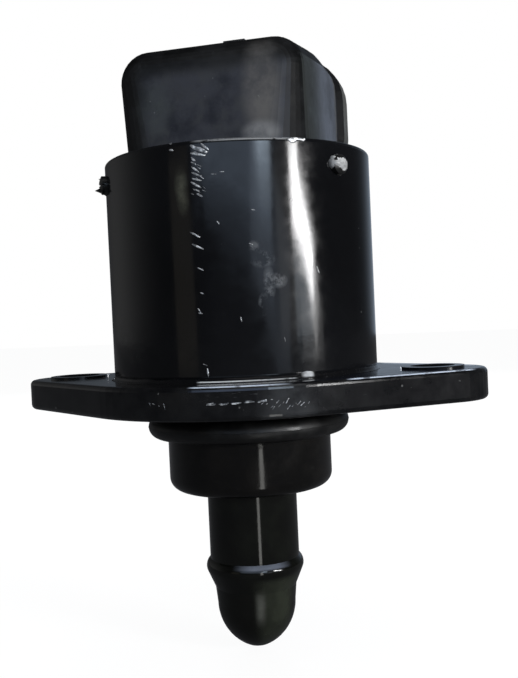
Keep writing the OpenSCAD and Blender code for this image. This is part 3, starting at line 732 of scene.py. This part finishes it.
# angle from +X, height, length, lean and share of the usual width: degrees and millimetres
CAN_SCRATCHES = [
    (-89.7, 31.3, 1.1, 35, 2.4),
    (-87.2, 31.0, 1.7, 26, 3.0),
    (-85.5, 31.3, 1.2, 42, 1.6),
    (-88.4, 30.5, 1.8, 14, 2.0),
    (-90.2, 30.0, 0.7, 40, 0.8),
    (-90.2, 29.5, 0.7, 30, 1.0),
    (-88.0, 29.2, 0.5, 30, 0.8),
    (-89.7, 28.8, 1.1, 38, 1.5),
    (-89.3, 28.2, 1.3, 26, 1.4),
    (-89.2, 27.6, 1.2, 16, 1.2),
    (-89.6, 27.0, 1.5, 32, 1.7),
    (-89.2, 26.4, 0.6, 25, 0.8),
    (-91.2, 26.0, 0.4, 25, 0.8),
    (-88.3, 25.8, 0.8, 30, 1.7),
    (-91.0, 21.3, 1.4, 30, 1.5),
    (-90.1, 19.9, 1.5, 26, 1.7),
    (-89.4, 17.3, 0.8, 28, 0.9),
    (-89.2, 14.5, 0.5, 20, 0.9),
    (-90.6, 12.5, 0.7, 60, 0.9),
    (-90.3, 12.2, 0.5, 10, 1.0),
    (-88.4, 5.3, 1.0, 85, 1.4),
    (-89.3, 6.2, 0.6, 20, 0.6),
    (-81.7, 22.5, 0.5, 60, 0.8),
    (-69.7, 19.9, 0.5, 20, 0.8),
    (-74.7, 11.3, 0.6, 80, 0.8),
    (-58.2, 8.7, 0.5, 80, 0.7),
    (-68.3, 23.8, 0.5, 10, 0.6),
    (-99.3, 31.3, 0.5, 10, 1.9),
    (-42.7, 16.7, 0.9, 70, 0.7),
    (-82.6, 28.1, 0.7, 5, 0.5),
    (-79.4, 28.3, 0.6, 5, 0.5),
]


class VALVE_OT_can_scratches(bpy.types.Operator):
    """Makes the column of short slanted scratches on the can, and the stray ones near it"""

    bl_idname = "valve.can_scratches"
    bl_label = "Can scratches"

    def execute(self, context):
        paint = context.scene.valve_paint
        chance = random.Random(context.scene.valve_detail.seed)
        strays, steps, broad = 16, 7, 1.2
        beside = ((-90.8, -86.4), (26, 31.6), (0.25, 0.55), (20, 45), (0.4, 0.7))
        scratches = CAN_SCRATCHES + [draw(chance, beside) for _ in range(strays)]
        width = broad * paint.scratch_width

        def build(work):
            wall_scratches(work, CAN_RADIUS, scratches, width, paint.scratch_height, steps)

        new_piece("can_scratches", build, scratch_metal())
        return {"FINISHED"}


class VALVE_OT_pin_heads(bpy.types.Operator):
    """Makes the heads of the lock pins, spread and burred where they were staked"""

    bl_idname = "valve.pin_heads"
    bl_label = "Pin heads"

    def execute(self, context):
        chance = random.Random(context.scene.valve_detail.seed + 4)
        pins_low, pins_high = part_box("lock_pins")
        middle = (pins_low[2] + pins_high[2]) / 2
        sunk = 0.1 * MM

        def frame_at(angle):
            out = outward(math.radians(angle))
            return out, Vector((-out.y, out.x, 0)), upward(1)

        def dome(work, angle, radius, proud, notch):
            """A lumpy dome with a notch in its edge, notch degrees round from the level."""
            out, side, up = frame_at(angle)
            turns, rows = 36, 7
            stretch, notch_half, notch_depth = 1.15, 34, 0.3
            lumps = [chance.uniform(0.93, 1.07) for _ in range(turns)]
            base = out * (CAN_RADIUS - sunk) + up * middle
            tip = work.verts.new(base + out * (proud + sunk))
            loops = []
            for row in range(1, rows + 1):
                share = row / rows
                loop = []
                for k in range(turns):
                    turn = 2 * math.pi * k / turns
                    apart = abs((math.degrees(turn) - notch + 180) % 360 - 180)
                    bite = max(0.0, 1 - apart / notch_half)
                    reach = radius * share * lumps[k] * (1 - notch_depth * bite * share)
                    rise = (proud + sunk) * math.sqrt(max(0.0, 1 - share * share))
                    rise *= 1 + chance.uniform(-0.04, 0.02)
                    across = side * (stretch * math.cos(turn)) + up * math.sin(turn)
                    loop.append(work.verts.new(base + across * reach + out * rise))
                loops.append(loop)
            face_rings(work, loops, capped=False)
            for k in range(turns):
                work.faces.new((tip, loops[0][k], loops[0][(k + 1) % turns]))
            work.faces.new(list(reversed(loops[-1])))

        def spike(work, angle, lift, radius, proud, droop):
            """A burr that stands out to a point."""
            out, side, up = frame_at(angle)
            base = out * (CAN_RADIUS - sunk) + up * (middle + lift)
            turns, stretch, waist_share = 12, 1.4, 0.5
            tip = work.verts.new(base + out * (proud + sunk) - up * droop)
            rise = out * (proud * 0.42) - up * (droop * 0.4)
            waist, foot = [], []
            for k in range(turns):
                turn = 2 * math.pi * k / turns
                across = (side * (stretch * math.cos(turn)) + up * math.sin(turn)) * radius
                waist.append(work.verts.new(base + across * waist_share + rise))
                foot.append(work.verts.new(base + across))
            face_rings(work, [waist, foot], capped=False)
            for k in range(turns):
                work.faces.new((tip, waist[k], waist[(k + 1) % turns]))
            work.faces.new(list(reversed(foot)))

        def bright_heads(work):
            dome(work, -30, 1.3 * MM, 1.0 * MM, 235)
            dome(work, 90, 1.28 * MM, 0.95 * MM, 80)

        def dark_head(work):
            spike(work, 210, 0.72 * MM, 0.5 * MM, 0.95 * MM, -0.1 * MM)
            spike(work, 210, -0.62 * MM, 0.86 * MM, 1.5 * MM, 0.05 * MM)

        staked = torn_metal("staked_metal", 900, 0, (0.24, 0.24, 0.24), (0.44, 0.44, 0.43))
        new_piece("pin_heads", bright_heads, staked)
        dark = bpy.data.materials["blackened_pins"]
        new_piece("pin_burrs", dark_head, dark, smooth=False)
        return {"FINISHED"}


class VALVE_OT_rim_chips(bpy.types.Operator):
    """Makes the bare, bright chips along the can's rim"""

    bl_idname = "valve.rim_chips"
    bl_label = "Rim chips"

    def execute(self, context):
        chance = random.Random(context.scene.valve_detail.seed + 1)
        paint = context.scene.valve_paint
        # angle, reach down the wall in millimetres, width in degrees
        chips = ((-51.6, 0.75, 3.6), (-47.4, 0.5, 3.2), (-49.6, 0.42, 5.0), (-99.5, 0.2, 1.2))
        # depth of a chip's middle line at its ends, its sag and half width, in shares of its reach
        end_depth, sag, half_width = 0.35, 0.2, 0.42
        steps = 9

        def build(work):
            for angle, reach, wide in chips:
                path, normals = [], []
                for k in range(steps):
                    share = k / (steps - 1)
                    out = outward(math.radians(angle + (share - 0.5) * wide))
                    drop = reach * MM * (end_depth + sag * math.sin(math.pi * share))
                    drop += chance.uniform(0, 0.05 * MM)
                    path.append(out * CAN_RADIUS + upward(CAN_RIM - drop))
                    normals.append(out)
                bead_along(work, path, normals, reach * MM * half_width, paint.scratch_height)

        new_piece("rim_chips", build, scratch_metal())
        return {"FINISHED"}


class VALVE_OT_foot_bead(bpy.types.Operator):
    """Makes the fillet of paint that has run into the corner between can and flange"""

    bl_idname = "valve.foot_bead"
    bl_label = "Paint fillet"

    def execute(self, context):
        chance = random.Random(context.scene.valve_detail.seed + 2)
        turns = 180
        bumps = [chance.uniform(0.82, 1.25) for _ in range(turns)]
        # the fillet's section: out from the wall and up from the flange, in shares of its size
        outline = [(-0.1, 0), (1, 0), (0.55, 0.14), (0.28, 0.38), (0.1, 0.8)]
        outline += [(0, 1.25), (-0.1, 1.25)]
        fillet_size = 0.42 * MM
        drip_at, drip_half, drip_swell = 310.8, 5, 0.8
        skim = 0.01 * MM
        wall, ground = CAN_RADIUS - skim, CAN_FOOT + skim

        def section(k):
            away = min(1, abs(360 * k / turns - drip_at) / drip_half)
            swell = (bumps[k - 1] + 2 * bumps[k] + bumps[(k + 1) % turns]) / 4
            size = fillet_size * (swell + drip_swell * math.cos(math.pi / 2 * away))
            return [(wall + size * along, ground + size * up) for along, up in outline]

        def build(work):
            revolve(work, turns, section)

        new_piece("foot_bead", build, fillet_paint(context.scene.valve_paint))
        return {"FINISHED"}


class VALVE_OT_flange_scratches(bpy.types.Operator):
    """Makes the long bright scrape and the short strokes along the flange's front edge"""

    bl_idname = "valve.flange_scratches"
    bl_label = "Flange scratches"

    def execute(self, context):
        paint = context.scene.valve_paint
        chance = random.Random(context.scene.valve_detail.seed + 3)
        radius = FLANGE_RADIUS - paint.scratch_height
        strokes = []
        level_count, slanted_count, steps = 26, 15, 6
        for k in range(level_count):
            share = k / (level_count - 1)
            stroke = draw(chance, ((-0.6, 0.6), (-0.13, 0.13), (0.8, 2), (-8, 4), (0.6, 1.3)))
            stroke[0] += -86.1 + 18.5 * share
            stroke[1] += 1.95 + 0.25 * share
            strokes.append(stroke)
        for k in range(slanted_count):
            stroke = draw(chance, ((-0.4, 0.4), (-0.5, 0.4), (0.6, 1.2), (-58, -38), (0.5, 0.9)))
            stroke[0] += -69 + 0.95 * k
            stroke[1] += 1.75
            strokes.append(stroke)
        strokes += [
            (-104.2, 2.2, 1.0, 60, 0.45),
            (-102.6, 2.1, 0.8, 20, 0.45),
            (-100.9, 2.0, 0.9, 50, 0.45),
            (-99, 1.9, 1.1, 75, 0.45),
        ]

        def build(work):
            width, burr = paint.scratch_width, paint.scratch_height
            wall_scratches(work, radius, strokes, width, burr, steps)

        new_piece("flange_scratches", build, scratch_metal())
        return {"FINISHED"}


class VALVE_OT_mould_lines(bpy.types.Operator):
    """Makes the fine witness line that the mould leaves round the sealing ring"""

    bl_idname = "valve.mould_lines"
    bl_label = "Mould line"

    def execute(self, context):
        ring_low, ring_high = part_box("nose_o_ring")
        ring_radius = ring_high[0]
        ring_height = (ring_low[2] + ring_high[2]) / 2
        turns, waves = 160, 11
        wave_size = 0.004 * MM
        foot, brim = ring_radius - 0.04 * MM, ring_radius + 0.03 * MM
        edge, root = 0.01 * MM, 0.05 * MM

        def section(k):
            wavy = brim + wave_size * math.sin(2 * math.pi * waves * k / turns)
            outline = ((foot, -root), (wavy, -edge), (wavy, edge), (foot, root))
            return [(radius, ring_height + up) for radius, up in outline]

        def build(work):
            revolve(work, turns, section)

        new_piece("ring_flash", build, bpy.data.materials["ring_rubber"])
        return {"FINISHED"}


class VALVE_OT_screw_thread(bpy.types.Operator):
    """Replaces the plain lead screw with one that has its thread"""

    bl_idname = "valve.screw_thread"
    bl_label = "Lead screw thread"

    def execute(self, context):
        pitch = context.scene.valve_detail.screw_pitch
        low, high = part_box("lead_screw")
        outer = high[0]
        thread_depth, bevel = 0.4 * MM, 0.5 * MM
        root = outer - thread_depth
        sides, rows = 28, 6
        # the tooth is a zigzag, stretched and sunk by these, and cut flat at the root and the crest
        stretch, sink = 1.6, 0.3
        bottom, top = low[2], high[2]

        def build(work):
            turns = (top - bottom - bevel) / pitch
            count = int(turns * rows)
            grid = []
            for row in range(count + 1):
                rise = row * pitch / rows
                loop = []
                for k in range(sides):
                    phase = (rise / pitch - k / sides) % 1
                    tooth = 1 - abs(2 * phase - 1)
                    depth = min(1.0, max(0.0, stretch * tooth - sink))
                    spot = outward(2 * math.pi * k / sides) * (root + thread_depth * depth)
                    loop.append(work.verts.new(spot + upward(bottom + rise)))
                grid.append(loop)
            grid.append(
                [
                    work.verts.new(outward(2 * math.pi * k / sides) * (outer - bevel) + upward(top))
                    for k in range(sides)
                ]
            )
            face_rings(work, grid)

        steel = bpy.data.materials["screw_steel"]
        thread = new_piece("screw_thread", build, steel, body="pintle")
        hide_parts("lead_screw")
        return {"FINISHED"}


class VALVE_OT_return_spring(bpy.types.Operator):
    """Replaces the stiff return spring with a coiled one, spaced so that its coils lie even once
    closed up by the pintle's draw
    """

    bl_idname = "valve.return_spring"
    bl_label = "Return spring"

    def execute(self, context):
        detail = context.scene.valve_detail
        wire = detail.spring_wire / 2
        low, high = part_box("return_spring")
        mean = high[0] - wire
        bottom, top = low[2] + wire, high[2] - wire
        length = top - bottom
        sides, steps, halvings = 10, 28, 40

        def height(share):
            """Height of the wire at a share of its turns, so that the closed coils are even."""
            under, over = bottom, top
            for _ in range(halvings):
                trial = (under + over) / 2
                drop = (top - trial) / length
                closed = trial + PINTLE_DRAW * drop * drop * (3 - 2 * drop)
                if closed < bottom + PINTLE_DRAW + share * (length - PINTLE_DRAW):
                    under = trial
                else:
                    over = trial
            return trial

        def build(work):
            rings = []
            count = detail.spring_turns * steps
            for k in range(count + 1):
                out = outward(2 * math.pi * k / steps)
                middle = out * mean + upward(height(k / count))
                ring = []
                for j in range(sides):
                    turn = 2 * math.pi * j / sides
                    around = out * (wire * math.cos(turn)) + upward(wire * math.sin(turn))
                    ring.append(work.verts.new(middle + around))
                rings.append(ring)
            face_rings(work, rings)

        steel = bpy.data.materials["spring_steel"]
        spring = new_piece("coiled_spring", build, steel, body=None)
        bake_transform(spring)
        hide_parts("return_spring")
        return {"FINISHED"}


WHITE = (1, 1, 1)
SKY = (0.8, 0.96, 1.12)
DEEP_SKY = (0.74, 0.92, 1.2)
# name, bearing, elevation, width, height, distance, radiance, colour, lean: degrees and metres
SOFT_BOXES = [
    ("key_top", 46.4, 10.2, 7.6, 8, 0.5, 36, WHITE, 0),
    ("key_strip", 53, 6.4, 4.5, 16, 0.5, 60, WHITE, 66),
    ("key_soft", 55.5, 6.8, 6, 16, 0.51, 6, WHITE, 63),
    ("key_tail", 61, 1.4, 7, 6, 0.5, 6, WHITE, 40),
    ("key_foot", 58, -0.9, 20, 5, 0.5, 1.2, WHITE, 0),
    ("blue_foot", 51, 1.8, 15, 7, 0.52, 2.6, (0.85, 0.97, 1.1), 0),
    ("blue_crown", 20.5, 14.8, 15, 6.5, 0.5, 1.8, SKY, 0),
    ("blue_crown_mid", 21, 14.8, 11.5, 6, 0.505, 2.4, SKY, 0),
    ("blue_crown_core", 21.5, 14.8, 8, 5.5, 0.51, 2.8, SKY, 0),
    ("blue_box", 21, 12, 14, 7, 0.515, 0.8, SKY, 0),
    ("blue_box_core", 21.5, 11.6, 9, 6, 0.52, 1.6, SKY, 0),
    ("blue_wall", -5, 15, 62, 12, 0.55, 1.3, DEEP_SKY, -4),
    ("blue_haze", -1, 10.5, 54, 12, 0.56, 0.55, DEEP_SKY, -8),
    ("blue_low", 24, 5, 30, 15, 0.57, 0.75, (0.8, 0.94, 1.15), -24),
    ("brown_post", -48, -8, 18, 40, 0.58, 0.24, (1, 0.9, 0.72), 3),
    ("grey_door", 38, 5, 16, 14, 0.58, 0.6, WHITE, 0),
    ("low_strip", 12.8, -35, 4.4, 24, 0.055, 4.5, (1, 1, 0.96), 0),
    ("top_box", 20, 62, 45, 30, 0.5, 0.7, WHITE, 0),
    ("back_box", 176, 14, 7, 40, 0.5, 6, WHITE, 0),
    ("back_strip", -176, 8, 3.5, 44, 0.5, 12, (0.85, 0.95, 1.1), 0),
    ("back_low", 177, -13, 7, 11, 0.15, 6, WHITE, 0),
]
# direction, sharpness and colour of each pale wall that the gloss shows, over a dim room
WALLS = (
    ((0.08, 0.995, 0.06), 12, (0.3, 0.36, 0.44)),
    ((-0.995, 0.098, 0), 7, (0.25, 0.25, 0.25)),
)
DIM_ROOM = (0.025, 0.026, 0.028)


class VALVE_OT_studio(bpy.types.Operator):
    """Sets up the pale floor, the soft boxes and the camera"""

    bl_idname = "valve.studio"
    bl_label = "Studio"

    def execute(self, context):
        scene = context.scene
        studio = scene.valve_studio
        scene.view_settings.view_transform = "Standard"
        self.floor(scene)
        self.world(scene)
        self.lamps(scene, studio)
        self.camera(scene, studio)
        return {"FINISHED"}

    def floor(self, scene):
        """A floor that is white to the camera and grey to the valve that stands on it."""
        half_side, glow_strength, glow_share = 1.6, 1.06, 0.86
        mesh = bpy.data.meshes.new("studio_floor")
        work = bmesh.new()
        corners = ((-1, -1), (1, -1), (1, 1), (-1, 1))
        work.faces.new(
            [work.verts.new((x * half_side, y * half_side, FLOOR_HEIGHT)) for x, y in corners]
        )
        work.to_mesh(mesh)
        work.free()
        floor = bpy.data.objects.new("studio_floor", mesh)
        scene.collection.objects.link(floor)
        material = bpy.data.materials.new("pale_floor")
        s = Nodes(material)
        path, eye = s.rays()
        grey = s.node("ShaderNodeBsdfDiffuse", {"Color": (0.13, 0.13, 0.135)}).outputs[0]
        pale = s.node("ShaderNodeBsdfDiffuse", {"Color": (0.9, 0.9, 0.9)}).outputs[0]
        glow = s.node("ShaderNodeEmission", {"Color": WHITE, "Strength": glow_strength}).outputs[0]
        seen = s.blend(eye, grey, s.blend(glow_share, pale, glow))
        # from below, the camera sees through the floor to the valve's underside
        under = s.node("ShaderNodeNewGeometry").outputs["Backfacing"]
        clear = s.node("ShaderNodeBsdfTransparent").outputs[0]
        seen = s.blend(s.times(under, path["Is Camera Ray"]), seen, clear)
        s.node("ShaderNodeOutputMaterial", {"Surface": seen})
        mesh.materials.append(material)

    def world(self, scene):
        """A white backdrop to the camera, a dim room to the gloss, and even light to the rest."""
        world = bpy.data.worlds.new("studio_world")
        scene.world = world
        s = Nodes(world)
        path, eye = s.rays()
        where = s.node("ShaderNodeTexCoord").outputs["Generated"]
        shade = DIM_ROOM
        for direction, sharpness, colour in WALLS:
            sockets = {0: where, 1: direction}
            facing = s.node("ShaderNodeVectorMath", sockets, operation="DOT_PRODUCT")
            ahead = s.sum("MAXIMUM", facing.outputs["Value"], 0)
            shade = s.mix(s.sum("POWER", ahead, sharpness), shade, colour)
        even, mirrored, backdrop = (
            s.node("ShaderNodeBackground", {"Color": colour, "Strength": strength}).outputs[0]
            for colour, strength in (((0.96, 0.98, 1), 0.5), (shade, 1), (WHITE, 1))
        )
        room = s.blend(path["Is Glossy Ray"], even, mirrored)
        s.node("ShaderNodeOutputWorld", {"Surface": s.blend(eye, room, backdrop)})

    def lamps(self, scene, studio):
        """Soft boxes that the camera doesn't see, placed by their bearing from its direction."""
        middle = upward(studio.height)
        for name, bearing, elevation, wide, tall, distance, radiance, colour, lean in SOFT_BOXES:
            turn = studio.yaw + math.radians(bearing) - math.pi / 2
            lift = math.radians(elevation)
            toward = outward(turn) * math.cos(lift) + upward(math.sin(lift))
            light = bpy.data.lights.new(name, "AREA")
            light.shape = "RECTANGLE"
            light.size = 2 * distance * math.tan(math.radians(wide) / 2)
            light.size_y = 2 * distance * math.tan(math.radians(tall) / 2)
            light.color = colour
            light.energy = radiance * math.pi * light.size * light.size_y
            lamp = bpy.data.objects.new(name, light)
            lamp.visible_camera = False
            lamp.matrix_world = (
                Matrix.Translation(middle + toward * distance)
                @ toward.to_track_quat("Z", "Y").to_matrix().to_4x4()
                @ Matrix.Rotation(math.radians(lean), 4, "Z")
            )
            scene.collection.objects.link(lamp)

    def camera(self, scene, studio):
        yaw = studio.yaw
        ahead = outward(yaw + math.pi / 2)
        right = outward(yaw)
        up = upward(1)
        pan = Matrix.Rotation(studio.pan, 3, up)
        ahead, right = pan @ ahead, pan @ right
        tilt = Matrix.Rotation(studio.tilt, 3, right)
        ahead, up = tilt @ ahead, tilt @ up
        roll = Matrix.Rotation(studio.roll, 3, ahead)
        right, up = roll @ right, roll @ up
        data = bpy.data.cameras.new("photo_camera")
        data.sensor_fit = "AUTO"
        data.sensor_width = SENSOR_WIDTH
        data.lens = studio.lens
        data.clip_start = 0.005
        data.clip_end = 10
        camera = bpy.data.objects.new("photo_camera", data)
        scene.collection.objects.link(camera)
        spot = outward(yaw - math.pi / 2) * studio.distance + upward(studio.height)
        turned = Matrix((right, up, -ahead)).transposed().to_4x4()
        camera.matrix_world = Matrix.Translation(spot) @ turned
        scene.camera = camera


PIECE_OPERATORS = (
    VALVE_OT_finishes,
    VALVE_OT_can_scratches,
    VALVE_OT_pin_heads,
    VALVE_OT_rim_chips,
    VALVE_OT_foot_bead,
    VALVE_OT_flange_scratches,
    VALVE_OT_mould_lines,
    VALVE_OT_screw_thread,
    VALVE_OT_return_spring,
    VALVE_OT_studio,
)


class VALVE_PT_sidebar(bpy.types.Panel):
    """Lists the steps that dress the valve, and its settings"""

    bl_idname = "VALVE_PT_sidebar"
    bl_label = "Idle air control valve"
    bl_space_type = "VIEW_3D"
    bl_region_type = "UI"
    bl_category = "Valve"

    def draw(self, context):
        for settings in SETTINGS:
            group = getattr(context.scene, settings)
            box = self.layout.box()
            for name in group.__annotations__:
                box.prop(group, name)
        for step in PIECE_OPERATORS:
            self.layout.operator(step.bl_idname)


SETTINGS = {
    "valve_paint": PaintSettings,
    "valve_plastic": PlasticSettings,
    "valve_detail": DetailSettings,
    "valve_studio": StudioSettings,
}


def register():
    for group in SETTINGS.values():
        bpy.utils.register_class(group)
    for name, group in SETTINGS.items():
        setattr(bpy.types.Scene, name, PointerProperty(type=group))
    for step in PIECE_OPERATORS:
        bpy.utils.register_class(step)
    bpy.utils.register_class(VALVE_PT_sidebar)


def unregister():
    bpy.utils.unregister_class(VALVE_PT_sidebar)
    for step in reversed(PIECE_OPERATORS):
        bpy.utils.unregister_class(step)
    for name in SETTINGS:
        delattr(bpy.types.Scene, name)
    for group in reversed(list(SETTINGS.values())):
        bpy.utils.unregister_class(group)


def main():
    register()
    bpy.ops.valve.finishes()
    bpy.ops.valve.can_scratches()
    bpy.ops.valve.pin_heads()
    bpy.ops.valve.rim_chips()
    bpy.ops.valve.foot_bead()
    bpy.ops.valve.flange_scratches()
    bpy.ops.valve.mould_lines()
    bpy.ops.valve.screw_thread()
    bpy.ops.valve.return_spring()
    bpy.ops.valve.studio()


if __name__ == "__main__":
    main()
